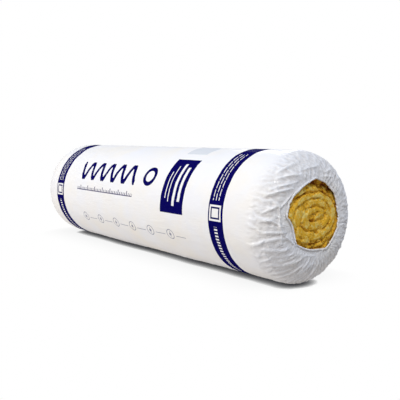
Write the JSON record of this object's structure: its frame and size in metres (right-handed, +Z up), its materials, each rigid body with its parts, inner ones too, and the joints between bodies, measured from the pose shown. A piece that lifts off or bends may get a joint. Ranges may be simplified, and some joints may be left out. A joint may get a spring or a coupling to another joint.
{
  "type": "insulation roll",
  "caption": "Glass wool mat wound into a roll and held in a printed white film sleeve, which is drawn in over rounded ends and leaves the wound wool showing.",
  "frame": {"origin": "on the floor on the roll's axis, at the centre of the underside of its bounding box", "axes": "+Z up along the roll's axis, towards the torn end seen in the picture, -Y towards the side that carries the main print, and -X towards what is the top of the roll where it lies in the picture"},
  "size_m": [0.3439, 0.344, 1.213],
  "materials": {
    "wool": "golden yellow glass wool, matte and fibrous",
    "film": "white polyethylene film with dark blue print, soft gloss"
  },
  "bodies": {
    "root": {"wool_roll": "wool", "film_sleeve": "film"}
  },
  "joints": []
}
